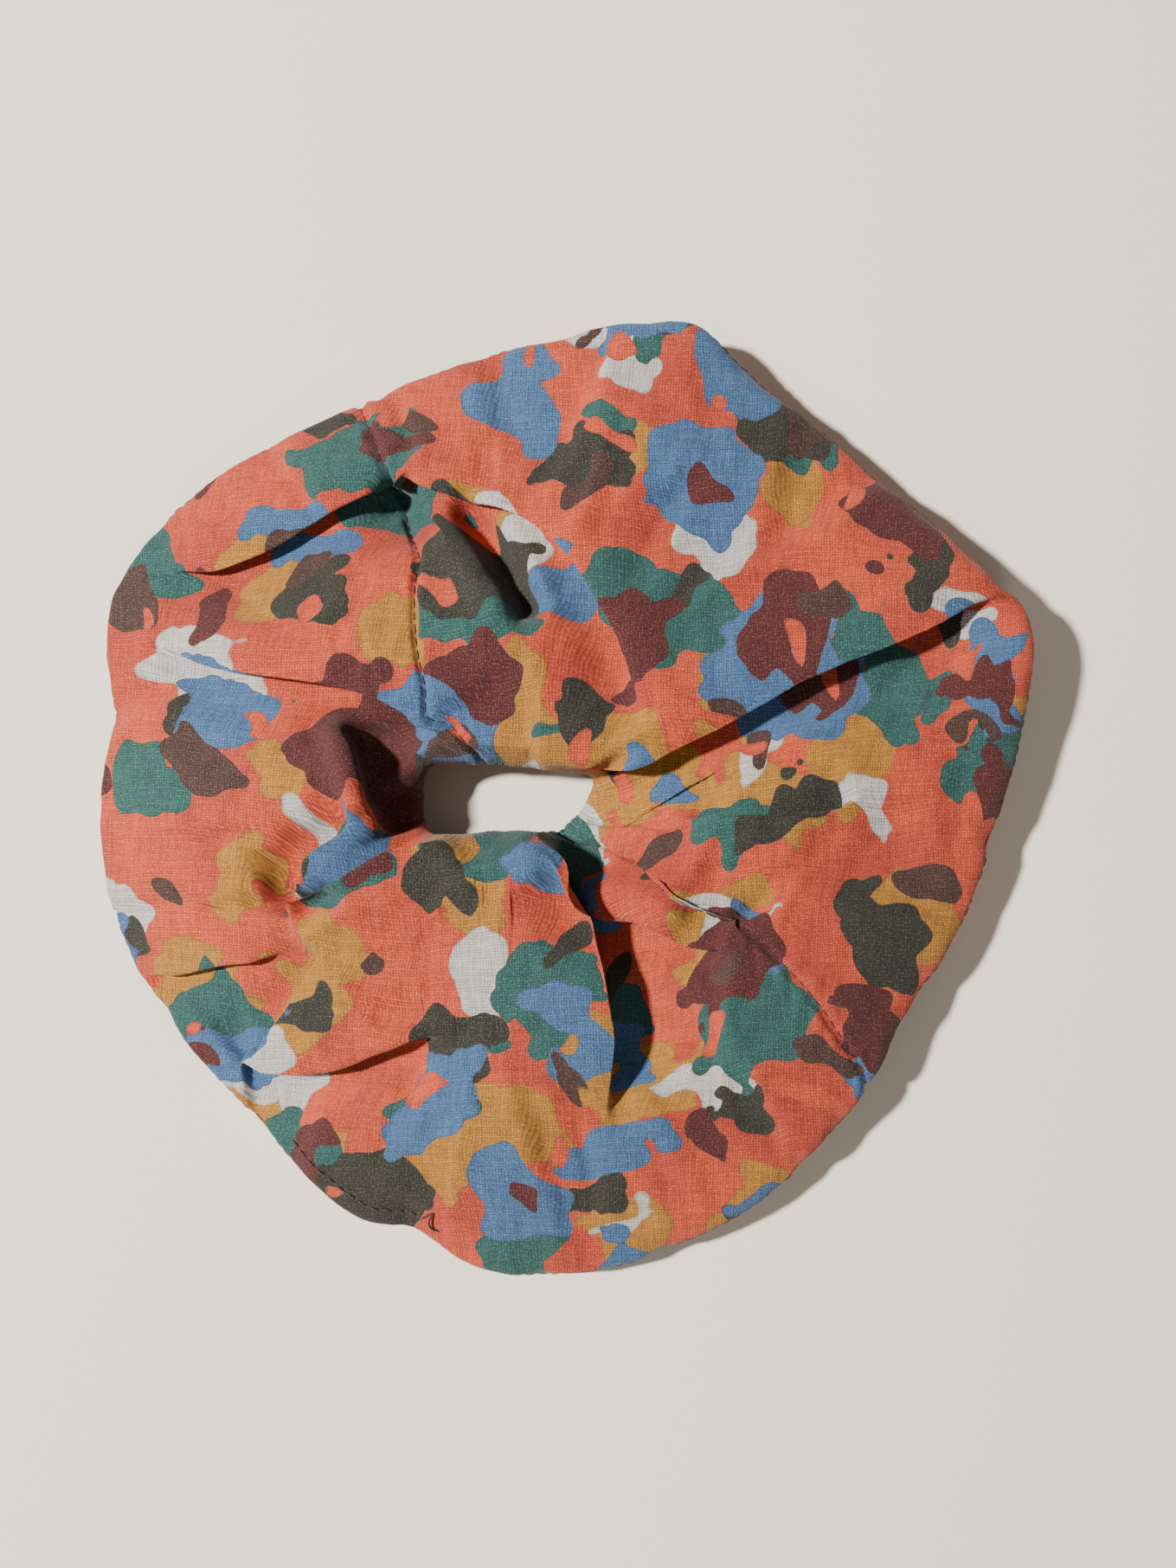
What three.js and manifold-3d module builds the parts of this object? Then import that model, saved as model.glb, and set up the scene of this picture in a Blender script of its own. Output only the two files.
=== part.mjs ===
// A large hair scrunchie lying flat: two cotton panels sewn end to end into a tube, gathered on a
// loop of flat elastic. Millimetres, +Z up, standing on z = 0, with the origin under the middle of
// its outline. +X and +Y are the right and the top of the outline seen from above.
import * as THREE from "three";
import { mergeVertices } from "three/addons/utils/BufferGeometryUtils.js";
import Module from "manifold-3d";

const wasm = await Module();
wasm.setup();

// ---- Driving dimensions ----

// The outline seen from above, as [angle in degrees, distance from the hole's centre].
const OUTLINE = [
  [0, 89], [10, 95], [20, 100], [35, 90.5], [52, 87], [70, 91.5], [85, 85],
  [105, 79.5], [120, 78], [148, 82.5], [170, 75.5], [185, 76.5], [205, 76.5], [225, 75.5],
  [250, 82.5], [260, 82.5], [272, 88], [300, 87.5], [320, 85], [330, 83], [350, 85.5],
];
const HOLE = { long: 14.5, short: 9.5, turn: -6 }; // half axes of the hole, and its turn in degrees

// Valleys between the gathers, as angles in degrees.
const VALLEYS = [-2, 22, 65, 98, 130, 153, 180, 206, 232, 262, 296, 333];
const VALLEY_WIDTH = 9; // degrees from a valley's bottom to where the fabric is level again
const TOP = 21.5; // height of the gathers over the elastic
const EDGE = { height: 7.5, rise: 4, towards: 15 }; // the outer edge lifts more on one side

const SEAM_ANGLES = { left: 115, right: 324 }; // where the two panels are sewn end to end
const SEAM_GAP = 1; // room between the panels' ends for the seam's thread
const GROOVE = { depth: 2.2, mouth: 1.8, bed: 1.2 }; // the long seam, along the outer edge
const THREAD = 0.2; // thread radius
const CLEAR = 0.4; // air between a thread and the fabric that it lies on

const ELASTIC = { radius: 24, width: 6, thickness: 1.2, height: 6.4, lap: 10.5 };
const LAP_ANGLE = 218; // middle of the lap, inside the lower panel
const LAP_GAP = 0.3;
const CHANNEL = { inner: 21.3, outer: 26.9, low: 2.2, high: 10.8 }; // what the elastic runs in

// The gap that the cover was turned out through, closed with a row of stitches near the edge.
const CLOSING = { from: 236, to: 258, inset: 3.2 };

const STEP = 4; // degrees between the sections of the cover
const rad = THREE.MathUtils.degToRad;
const lerp = THREE.MathUtils.lerp;

// ---- The shape of the gathered cover ----

// Distance from the hole's centre to the outline: a smooth closed curve through OUTLINE.
function outerRadius(degrees) {
  const a = ((degrees % 360) + 360) % 360;
  const n = OUTLINE.length;
  let i = 0;
  while (i < n - 1 && OUTLINE[i + 1][0] <= a) i++;
  const at = (k) => {
    const turns = Math.floor(k / n);
    const [angle, r] = OUTLINE[k - turns * n];
    return [angle + 360 * turns, r];
  };
  const [p, q, s, t] = [at(i - 1), at(i), at(i + 1), at(i + 2)];
  const w = (a - q[0]) / (s[0] - q[0]);
  const span = s[0] - q[0];
  const m0 = ((s[1] - p[1]) / (s[0] - p[0])) * span;
  const m1 = ((t[1] - q[1]) / (t[0] - q[0])) * span;
  const w2 = w * w;
  const w3 = w2 * w;
  return (
    (2 * w3 - 3 * w2 + 1) * q[1] + (w3 - 2 * w2 + w) * m0 + (3 * w2 - 2 * w3) * s[1] + (w3 - w2) * m1
  );
}

// Distance from the hole's centre to the hole's rim: an ellipse.
function holeRadius(degrees) {
  const a = rad(degrees - HOLE.turn);
  return 1 / Math.hypot(Math.cos(a) / HOLE.long, Math.sin(a) / HOLE.short);
}

const edgeHeight = (degrees) => EDGE.height + EDGE.rise * Math.cos(rad(degrees - EDGE.towards));

// 1 at the bottom of a valley, 0 on a gather.
function valley(degrees) {
  let nearest = 180;
  for (const v of VALLEYS) {
    const off = Math.abs(((degrees - v + 540) % 360) - 180);
    nearest = Math.min(nearest, off);
  }
  return nearest < VALLEY_WIDTH ? 0.5 + 0.5 * Math.cos((Math.PI * nearest) / VALLEY_WIDTH) : 0;
}

// The tube's outline at one angle, as [distance from the hole's centre, height], anticlockwise.
function coverSection(degrees) {
  const outer = outerRadius(degrees);
  const inner = holeRadius(degrees);
  const edge = edgeHeight(degrees);
  const v = valley(degrees);
  const across = (share) => lerp(inner, outer, share);
  const { depth, mouth, bed } = GROOVE;
  return [
    [inner + 6, 0],
    [across(0.4), 0],
    [across(0.72), 0],
    [across(0.9), edge * 0.25],
    [outer - 2.5, edge - 2.6],
    [outer, edge - mouth / 2],
    [outer - depth, edge - bed / 2],
    [outer - depth, edge + bed / 2],
    [outer, edge + mouth / 2],
    [outer - 2.5, edge + 2.6],
    [across(0.9), edge + 4.4 - v],
    [across(0.75), 13.5 - 2.5 * v],
    [across(0.55), 17 - 4 * v],
    [across(0.36), 20 - 4.5 * v],
    [28.5, TOP - 4.5 * v],
    [21, TOP - 4.5 * v],
    [inner + 3.2, 18.5 - 3.5 * v],
    [inner + 0.7, 14.5 - 1.5 * v],
    [inner, 9],
    [inner + 0.7, 4.5],
    [inner + 3, 1.2],
  ];
}

// Height of the section's upper or lower side at a distance from the hole's centre.
function heightAt(section, from, to, distance) {
  for (let i = from; i < to; i++) {
    const [r0, z0] = section[i];
    const [r1, z1] = section[i + 1];
    if ((distance - r0) * (distance - r1) <= 0) return lerp(z0, z1, (distance - r0) / (r1 - r0));
  }
  throw new Error("the distance lies outside this side of the section");
}
const upperHeight = (degrees, distance) => heightAt(coverSection(degrees), 9, 15, distance);
const lowerHeight = (degrees, distance) => heightAt(coverSection(degrees), 0, 4, distance);

// ---- Solids ----

const onCircle = (degrees, distance, height) =>
  new THREE.Vector3(distance * Math.cos(rad(degrees)), distance * Math.sin(rad(degrees)), height);

// A closed solid through sections at the given angles; a full ring has no ends.
function sweep(sectionAt, angles, fullRing) {
  const rings = angles.map((a) => sectionAt(a).map(([r, z]) => onCircle(a, r, z)));
  const n = rings[0].length;
  const positions = rings.flat().flatMap((p) => p.toArray());
  const index = [];
  const steps = fullRing ? rings.length : rings.length - 1;
  for (let i = 0; i < steps; i++) {
    const a = i * n;
    const b = ((i + 1) % rings.length) * n;
    for (let j = 0; j < n; j++) {
      const k = (j + 1) % n;
      index.push(a + j, b + j, b + k, a + j, b + k, a + k);
    }
  }
  if (!fullRing) {
    const first = sectionAt(angles[0]).map(([r, z]) => new THREE.Vector2(r, z));
    const last = (rings.length - 1) * n;
    for (const [a, b, c] of THREE.ShapeUtils.triangulateShape(first, [])) {
      index.push(a, b, c, last + a, last + c, last + b);
    }
  }
  const geometry = new THREE.BufferGeometry();
  geometry.setAttribute("position", new THREE.Float32BufferAttribute(positions, 3));
  geometry.setIndex(index);
  return geometry;
}

function range(from, to, step) {
  const count = Math.max(1, Math.round((to - from) / step));
  return Array.from({ length: count + 1 }, (_, i) => lerp(from, to, i / count));
}

function toSolid(geometry) {
  const bare = geometry.clone();
  bare.deleteAttribute("normal");
  bare.deleteAttribute("uv");
  const merged = mergeVertices(bare, 1e-4);
  return new wasm.Manifold(
    new wasm.Mesh({
      numProp: 3,
      vertProperties: new Float32Array(merged.attributes.position.array),
      triVerts: new Uint32Array(merged.index.array),
    }),
  );
}

function toGeometry(solid) {
  const { vertProperties, triVerts } = solid.getMesh();
  const geometry = new THREE.BufferGeometry();
  geometry.setAttribute("position", new THREE.Float32BufferAttribute(vertProperties, 3));
  geometry.setIndex(Array.from(triVerts));
  geometry.computeVertexNormals();
  return geometry;
}

// The slit between the two panels' ends, standing on the seam's line from the hole outwards.
function seamSlit(degrees) {
  const length = 120;
  const slit = new THREE.BoxGeometry(length, SEAM_GAP, 80);
  slit.translate(length / 2, 0, 0);
  slit.rotateZ(rad(degrees));
  return slit;
}

// Both panels: the gathered ring, less the elastic's channel, cut through at the two end seams.
function coverPanels() {
  const channel = [
    new THREE.Vector2(CHANNEL.inner, CHANNEL.low),
    new THREE.Vector2(CHANNEL.outer, CHANNEL.low),
    new THREE.Vector2(CHANNEL.outer, CHANNEL.high),
    new THREE.Vector2(CHANNEL.inner, CHANNEL.high),
    new THREE.Vector2(CHANNEL.inner, CHANNEL.low),
  ];
  const channelRing = new THREE.LatheGeometry(channel, 72);
  channelRing.rotateX(Math.PI / 2); // a lathe turns about +Y; the ring lies about +Z
  let ring = toSolid(sweep(coverSection, range(0, 360 - STEP, STEP), true));
  ring = ring.subtract(toSolid(channelRing));
  ring = ring.subtract(toSolid(seamSlit(SEAM_ANGLES.left)));
  ring = ring.subtract(toSolid(seamSlit(SEAM_ANGLES.right)));
  const middle = (SEAM_ANGLES.left + SEAM_ANGLES.right - 360) / 2;
  const towardsUpper = (solid) => {
    const { min, max } = solid.boundingBox();
    const at = onCircle(middle, 1, 0);
    return (min[0] + max[0]) * at.x + (min[1] + max[1]) * at.y;
  };
  const panels = ring.decompose().sort((a, b) => towardsUpper(b) - towardsUpper(a));
  return { upper: toGeometry(panels[0]), lower: toGeometry(panels[1]) };
}

function threadAlong(points, steps) {
  const outline = new THREE.Shape();
  outline.absarc(0, 0, THREAD, 0, 2 * Math.PI, false);
  return new THREE.ExtrudeGeometry(outline, {
    steps,
    curveSegments: 3, // half of the thread's six sides
    extrudePath: new THREE.CatmullRomCurve3(points, false, "centripetal"),
    bevelEnabled: false,
  });
}

// The long seam's thread lies in the groove along the outer edge, from one end seam to the next.
function longSeamThread(from, to) {
  const inGroove = (a) => onCircle(a, outerRadius(a) - GROOVE.depth / 2, edgeHeight(a));
  const angles = range(from + 2, to - 2, STEP);
  return threadAlong(angles.map(inGroove), angles.length * 2);
}

// An end seam's thread runs round the tube, just inside the fabric, and stops short of its start.
function endSeamThread(degrees) {
  const inset = 1.5;
  const section = coverSection(degrees);
  const [low, high] = [inset, TOP - inset - 4.5];
  const reach = section[5][0] - GROOVE.depth - inset;
  const inner = section[18][0] + inset;
  const edge = edgeHeight(degrees);
  const loop = [
    [inner + 14, low], [lerp(inner, reach, 0.6), low], [lerp(inner, reach, 0.88), low + 0.8],
    [reach, edge - 0.8], [reach, edge + 0.8], [lerp(inner, reach, 0.88), edge + 2],
    [lerp(inner, reach, 0.7), 10], [lerp(inner, reach, 0.45), 13.5], [28, high],
    [20, high], [inner + 2.6, high - 1.5], [inner, 11], [inner, 6], [inner + 3, low + 1.2],
    [inner + 10, low],
  ];
  return threadAlong(loop.map(([r, z]) => onCircle(degrees, r, z)), 56);
}

// Both threads of the closing stitches: the needle's on top, with a loose tail, and the bobbin's below.
function closingThread(above) {
  const angles = range(CLOSING.from, CLOSING.to, 2);
  const points = angles.map((a) => {
    const r = outerRadius(a) - CLOSING.inset;
    const lift = CLEAR + THREAD;
    return onCircle(a, r, above ? upperHeight(a, r) + lift : lowerHeight(a, r) - lift);
  });
  if (above) {
    const a = CLOSING.to;
    const r = outerRadius(a);
    points.push(onCircle(a + 1.6, r - 1.6, edgeHeight(a) + 3.4));
    points.push(onCircle(a + 2.8, r + 0.6, edgeHeight(a) + 2.6));
    points.push(onCircle(a + 2.6, r + 2.4, edgeHeight(a) + 1));
  }
  return threadAlong(points, points.length * 2);
}

// The elastic: one strip on edge, wound once round with its ends lapped.
const lapDegrees = THREE.MathUtils.radToDeg(ELASTIC.lap / ELASTIC.radius);
const lapStep = (ELASTIC.thickness + LAP_GAP) / 2; // each layer of the lap sits this far off the middle

function elasticBand() {
  const start = LAP_ANGLE - lapDegrees / 2;
  const { radius, width, thickness, height } = ELASTIC;
  const section = (a) => {
    const turned = THREE.MathUtils.smoothstep(a - start, 300, 345);
    const middle = radius + lerp(-lapStep, lapStep, turned);
    const [r0, r1] = [middle - thickness / 2, middle + thickness / 2];
    return [
      [r0, height - width / 2],
      [r1, height - width / 2],
      [r1, height + width / 2],
      [r0, height + width / 2],
    ];
  };
  return sweep(section, range(start, start + 360 + lapDegrees, 6), false);
}

// A zigzag row of stitches on one face of the elastic's lap.
function lapThread(outside) {
  const side = outside ? 1 : -1;
  const distance = ELASTIC.radius + side * (lapStep + ELASTIC.thickness / 2 + LAP_GAP + THREAD + 0.05);
  const zigs = 8;
  const points = [];
  for (let i = 0; i <= zigs; i++) {
    const a = LAP_ANGLE + lapDegrees * (i / zigs - 0.5) * 0.8;
    points.push(onCircle(a, distance, ELASTIC.height + (i % 2 ? 2 : -2)));
  }
  return threadAlong(points, zigs * 4);
}

// ---- Materials ----

const fabric = (color) => new THREE.MeshStandardMaterial({ color, roughness: 0.9, metalness: 0 });
const printedCotton = fabric("#c66a4e");
const whiteElastic = fabric("#e4e2dc");
const darkThread = fabric("#45242b");
const plainThread = fabric("#cfc9bf");

// ---- The scrunchie ----

const scrunchie = new THREE.Group();

function add(name, geometry, material) {
  const mesh = new THREE.Mesh(geometry, material);
  mesh.name = name;
  scrunchie.add(mesh);
}

const panels = coverPanels();
add("cover_panel_upper", panels.upper, printedCotton);
add("cover_panel_lower", panels.lower, printedCotton);
add("elastic_band", elasticBand(), whiteElastic);
add("elastic_lap_needle_thread", lapThread(true), plainThread);
add("elastic_lap_bobbin_thread", lapThread(false), plainThread);
add("end_seam_thread_left", endSeamThread(SEAM_ANGLES.left), darkThread);
add("end_seam_thread_right", endSeamThread(SEAM_ANGLES.right), darkThread);
add("long_seam_thread_upper", longSeamThread(SEAM_ANGLES.right - 360, SEAM_ANGLES.left), darkThread);
add("long_seam_thread_lower", longSeamThread(SEAM_ANGLES.left, SEAM_ANGLES.right), darkThread);
add("closing_needle_thread", closingThread(true), darkThread);
add("closing_bobbin_thread", closingThread(false), darkThread);

// The pieces are shaped about the hole's centre; the group moves the outline's middle to the origin.
const middle = new THREE.Box3().setFromObject(scrunchie, true).getCenter(new THREE.Vector3());
scrunchie.position.set(-middle.x, -middle.y, 0);

export default scrunchie;
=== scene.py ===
"""The looks of a large cotton scrunchie: the gathered cover, its print, its seams and its elastic.

Lengths are in millimetres until they are handed to Blender. Every place is counted from the middle
of the hole, which is the middle of the elastic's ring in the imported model.
"""
import math

import bpy
import numpy as np
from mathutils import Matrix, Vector


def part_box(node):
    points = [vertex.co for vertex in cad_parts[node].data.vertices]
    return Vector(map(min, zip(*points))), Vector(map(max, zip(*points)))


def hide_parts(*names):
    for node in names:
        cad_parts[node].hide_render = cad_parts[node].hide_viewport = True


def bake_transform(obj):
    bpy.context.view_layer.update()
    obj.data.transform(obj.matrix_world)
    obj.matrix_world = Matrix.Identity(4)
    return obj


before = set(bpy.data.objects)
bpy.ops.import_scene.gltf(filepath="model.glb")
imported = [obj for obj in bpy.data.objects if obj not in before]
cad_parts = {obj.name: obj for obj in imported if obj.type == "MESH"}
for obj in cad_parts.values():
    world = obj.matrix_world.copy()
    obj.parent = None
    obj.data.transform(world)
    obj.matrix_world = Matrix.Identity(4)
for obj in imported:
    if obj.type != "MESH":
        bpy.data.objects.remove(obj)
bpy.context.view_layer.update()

SEED = 23
rng = np.random.default_rng(SEED)

MM = 0.001

elastic_low, elastic_high = (np.array(corner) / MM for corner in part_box("elastic_band"))
HOLE = (elastic_low + elastic_high) / 2

# ---------------------------------------------------------------- the outline

# (degrees, distance from the hole's middle) round the outside
OUTLINE = [
    (0, 90.4), (10, 95.2), (17, 99), (21, 99.2), (27, 95.2), (40, 90), (52, 88.8), (62, 90.2),
    (69, 93.4), (75, 91.2), (85, 86.4), (97, 82.4), (109, 79.8), (120, 79), (135, 81.5), (148, 83.4),
    (155, 82.8), (168, 76.2), (180, 76.4), (195, 76.8), (215, 75.6), (230, 75.8), (241, 79),
    (250, 82), (257, 81.6), (266, 86.6), (275, 88.3), (300, 87), (315, 84.6), (323, 83.9),
    (333, 82.6), (345, 85.4),
]
# (degrees, distance) round the hole, as it is seen from above
HOLE_RIM = [
    (0, 13.8), (16, 15.6), (30, 11.4), (45, 8.6), (68, 6.8), (90, 6.4), (115, 7.8), (134, 11), (152, 15.2),
    (180, 15.6), (200, 15), (214, 9.6), (232, 5.8), (262, 4.6), (290, 5), (312, 7.6), (325, 10.6),
    (340, 11.8),
]
# (degrees, height of the cloth round the hole)
RIM_HEIGHT = [(0, 18), (60, 20.6), (110, 20.4), (150, 19), (180, 20), (205, 19.4), (240, 20.4), (300, 20.6)]
# (degrees, height of the outer edge)
EDGE_HEIGHT = [(0, 11), (20, 14.5), (45, 11), (69, 11.5), (100, 7), (150, 5), (200, 4), (247, 4.2),
               (275, 5.5), (322, 10), (340, 9.5)]


def around(pairs, degrees):
    """A smooth closed curve through (angle, value) pairs, read at the given angles."""
    angles = np.array([p[0] for p in pairs], float)
    values = np.array([p[1] for p in pairs], float)
    angles = np.concatenate([angles[-2:] - 360, angles, angles[:3] + 360])
    values = np.concatenate([values[-2:], values, values[:3]])
    slopes = np.zeros_like(values)
    slopes[1:-1] = (values[2:] - values[:-2]) / (angles[2:] - angles[:-2])
    at = np.mod(degrees, 360)
    i = np.searchsorted(angles, at, side="right") - 1
    span = angles[i + 1] - angles[i]
    w = (at - angles[i]) / span
    return (
        (2 * w**3 - 3 * w**2 + 1) * values[i] + (w**3 - 2 * w**2 + w) * span * slopes[i]
        + (3 * w**2 - 2 * w**3) * values[i + 1] + (w**3 - w**2) * span * slopes[i + 1]
    )


def smoothstep(x, low, high):
    """0 up to low, 1 from high, and a smooth rise between them."""
    t = np.clip((x - low) / (high - low), 0, 1)
    return t * t * (3 - 2 * t)


# ---------------------------------------------------------------- the tube before it is folded

SEAM_LEFT, SEAM_RIGHT = 115, 324  # the angles of the two end seams
LINES = 900  # grid lines round the whole ring
UPPER_LINES = round(LINES * (SEAM_LEFT + 360 - SEAM_RIGHT) / 360)
angles = np.concatenate([
    np.linspace(SEAM_RIGHT - 360, SEAM_LEFT, UPPER_LINES, endpoint=False),
    np.linspace(SEAM_LEFT, SEAM_RIGHT, LINES - UPPER_LINES, endpoint=False),
])

# How many rows lie between one control point of the section and the next.
ROWS = [4, 6, 6, 6, 6, 6, 14, 18, 22, 18, 12, 5, 3, 3, 6, 12, 12, 11, 10]
# Places along the section are counted in control points, from under the elastic up the hole's wall.
TOP_STARTS = 3.0
UPPER_MIDDLE = 8
OUTER_EDGE = 13  # the long seam runs here


def sections(degrees):
    """Control points of the tube's section at each angle: distances and heights, in rows."""
    outer = around(OUTLINE, degrees)
    rim = around(HOLE_RIM, degrees)
    edge = around(EDGE_HEIGHT, degrees)
    crown = around(RIM_HEIGHT, degrees)
    same = np.ones_like(outer)

    def across(part):
        return rim + (outer - rim) * part

    table = [
        # Under the elastic, then up the hole's wall.
        (rim + 8, 0.8 * same),
        (rim + 4, 2.2 * same),
        (rim + 1.6, 6 * same),
        (rim + 0.4, 0.53 * crown),
        (rim + 0.6, 0.73 * crown),
        (rim + 3, 0.9 * crown),
        # Over the crown and down the upper side.
        (rim + 7.5, crown),
        (across(0.3), 0.4 * crown + 12.6),
        (across(0.5), 17.8 + 0.12 * edge),
        (across(0.7), 12.2 + 0.36 * edge),
        (across(0.86), 6.2 + 0.75 * edge),
        # Round the outer edge.
        (outer - 3, edge + 2.2),
        (outer - 0.6, edge + 0.9),
        (outer, edge),
        (outer - 0.6, edge - 0.9),
        (outer - 3, edge - 2.2),
        # Back along the table.
        (across(0.82), 0.26 * edge),
        (across(0.6), 0.6 * same),
        (across(0.36), 0.6 * same),
    ]
    return np.array([t[0] for t in table]), np.array([t[1] for t in table])


def between(a, b, c, d, t):
    """A point on the smooth curve from b to c; a and d are the points before and after them."""
    return 0.5 * (
        2 * b + (c - a) * t + (2 * a - 5 * b + 4 * c - d) * t**2 + (3 * b - a - 3 * c + d) * t**3
    )


def through(control):
    """Rows of a closed smooth curve through the control rows, and each row's place between them."""
    count = len(control)
    rows, places = [], []
    for k in range(count):
        a, b, c, d = (control[(k + j) % count] for j in (-1, 0, 1, 2))
        for j in range(ROWS[k]):
            t = j / ROWS[k]
            rows.append(between(a, b, c, d, t))
            places.append(k + t)
    return np.array(rows), np.array(places)


distance, height = sections(angles)
distance, places = through(distance)
height, _ = through(height)
hole_rim = around(HOLE_RIM, angles)
share = (distance - hole_rim) / (around(OUTLINE, angles) - hole_rim)


def row_at(place):
    """The row nearest to a place along the section."""
    return int(np.abs(places - place).argmin())


# (share of the way out, degrees) by which each end seam leans off its radius
LEANS = {
    SEAM_LEFT: [(0, 8), (0.2, 11), (0.55, -5), (1, -4)],
    SEAM_RIGHT: [(0, 9), (0.45, 10), (1, -2)],
}
LEAN_REACH = 30  # degrees


def seam_bend(degrees, share):
    """The end seams aren't quite radial: the grid's lines turn with them."""
    bend = 0
    for seam, lean in LEANS.items():
        off = (degrees - seam + 180) % 360 - 180
        bend = bend + np.interp(share, *zip(*lean)) * np.exp(-((off / LEAN_REACH) ** 2))
    return bend


turned = np.radians(angles + seam_bend(angles, share))
cloth = np.stack([distance * np.cos(turned), distance * np.sin(turned), height], axis=-1)
is_top = smoothstep(places, TOP_STARTS - 1.5, TOP_STARTS + 1)
is_top *= 1 - smoothstep(places, OUTER_EDGE - 0.5, OUTER_EDGE + 1.5)
is_under = smoothstep(places, OUTER_EDGE + 0.5, OUTER_EDGE + 2.5)
is_top, is_under = (np.repeat(w[:, None], LINES, axis=1) for w in (is_top, is_under))
base = cloth.copy()
# The gathers hold the cloth round the hole, so it has little slack to lap sideways.
LEAST_SLACK = 0.12
slack = LEAST_SLACK + (1 - LEAST_SLACK) * smoothstep(distance - hole_rim, 1, 11)

# ---------------------------------------------------------------- folds


def spline(points, spacing=0.8):
    """Points along a smooth curve through given points."""
    p = np.array(points, float)
    p = np.vstack([2 * p[0] - p[1], p, 2 * p[-1] - p[-2]])
    out = []
    for k in range(1, len(p) - 2):
        a, b, c, d = p[k - 1 : k + 3]
        steps = max(2, int(np.linalg.norm(c - b) / spacing))
        for j in range(steps):
            t = j / steps
            out.append(between(a, b, c, d, t))
    out.append(p[-2])
    return np.array(out)


BATCH = 20000  # points handled at once, so that memory stays small


def beside(curve, reach, weight):
    """Where the cloth lies beside a curve: which points, how far off to its left, how far along."""
    xy = cloth[..., :2]
    low, high = curve.min(0) - reach, curve.max(0) + reach
    near = ((xy > low) & (xy < high)).all(-1) & (weight > 0.001)
    rows, lines = np.nonzero(near)
    p = xy[rows, lines]
    tangent = np.gradient(curve, axis=0)
    tangent /= np.linalg.norm(tangent, axis=1, keepdims=True)
    nearest = np.empty(len(p), int)
    for start in range(0, len(p), BATCH):
        part = p[start : start + BATCH]
        gap = ((part[:, None, :] - curve[None]) ** 2).sum(-1)
        nearest[start : start + BATCH] = gap.argmin(1)
    d = p - curve[nearest]
    t = tangent[nearest]
    left = t[:, 0] * d[:, 1] - t[:, 1] * d[:, 0]
    ahead = (t * d).sum(1)
    steps = np.linalg.norm(np.diff(curve, axis=0), axis=1)
    length = np.concatenate([[0], np.cumsum(steps)])
    along = length[nearest] + ahead
    return (rows, lines), left, along, length[-1], np.stack([-t[:, 1], t[:, 0]], axis=1)


RUN_ON = 4  # how far a fold that doesn't fade runs on past its end
FOLD_REACH, SWELL_REACH = 3.2, 2.5  # in widths
STEP_SOFTNESS = 0.12


def strength(along, total, fade_in, fade_out):
    """From 0 to 1 to 0 along a fold; with a fade of 0 it runs on a little past that end."""
    start = (0, fade_in) if fade_in else (-RUN_ON, -RUN_ON / 4)
    end = (total - fade_out, total) if fade_out else (total + RUN_ON / 4, total + RUN_ON)
    return smoothstep(along, *start) * (1 - smoothstep(along, *end))


def fold(points, over="left", width=5, up=1.6, down=3, lap=2.2, fades=(6, 8), spread=2.2, under=False):
    """One layer of cloth laps over the next along a curve.

    over is the side that lies on top. width is half of the fold's own width, up and down how far the
    two sides rise and dip, lap how much cloth doubles back, and spread how far the dip reaches.
    """
    weight = is_under if under else is_top
    side = 1 if over == "left" else -1
    where, left, along, total, normal = beside(spline(points), width * FOLD_REACH, weight)
    u = side * left / width
    s = strength(along, total, *fades) * weight[where]
    lateral = np.where(np.abs(u) < 1, -lap * u * (1 - u * u) ** 2, 0) * width * s * slack[where]
    step = u / np.sqrt(u * u + STEP_SOFTNESS)
    rise = smoothstep(u, -0.5, 0.5)
    reach = spread * (1 + 0.2 * rise)
    lift = step * (down + (up - down) * rise) * np.exp(-((u / reach) ** 2)) * s
    cloth[where[0], where[1], :2] += side * normal * lateral[:, None]
    cloth[where[0], where[1], 2] += -lift if under else lift


def swell(points, width, lift, fades=(6, 6), under=False):
    """A soft ridge, or with a negative lift a soft valley, along a curve."""
    weight = is_under if under else is_top
    where, left, along, total, _ = beside(spline(points), width * SWELL_REACH, weight)
    s = strength(along, total, *fades) * weight[where]
    past = np.maximum(np.maximum(-along, along - total), 0)  # this rounds off its ends
    cloth[where[0], where[1], 2] += lift * np.exp(-(left**2 + past**2) / width**2) * s


# Broad swells of the upper side come first, and the folds cut them up.
swell([(52, 52), (60, 40), (74, 24)], 16, 2.2)
swell([(10, 70), (30, 62), (52, 56)], 13, 1.6)
swell([(-40, 56), (-20, 68), (0, 74)], 12, 1.4)
swell([(-70, 20), (-62, 0), (-60, -20)], 14, 1.5)
swell([(-40, -60), (-16, -66), (8, -60)], 15, 1.8)
swell([(40, -52), (58, -38), (66, -14)], 14, 1.8)
swell([(-4, 22), (2, 32), (-2, 42)], 12, 1.5)

# The long lap at the upper right: the large upper panel lies over the cloth below it.
fold([(8, 5.5), (16, 6.2), (24, 8.6), (33, 13.4), (43, 18.6), (53, 24.2), (66, 29.4), (80, 34.6), (94, 38.5)],
     over="left", width=5.8, up=1.8, down=5.2, fades=(0, 24), lap=2.6)
# The same panel's left border, from the peak down to the hole.
fold([(-24, 62), (-11, 56.5), (0, 53.4), (7, 49), (12, 43.6), (17.5, 35), (21.5, 26.5), (23.5, 18),
      (24.5, 11)], over="left", width=3.8, up=1.8, down=4, fades=(7, 12), lap=2.5)
# The long lap at the left, under the upper left panel.
fold([(-68, 30), (-60, 27.6), (-49, 25.2), (-36, 23.3), (-25, 21), (-17, 17), (-12, 12.4)],
     over="left", width=4.8, up=1.8, down=4.8, fades=(16, 3), lap=2.6)
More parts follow.
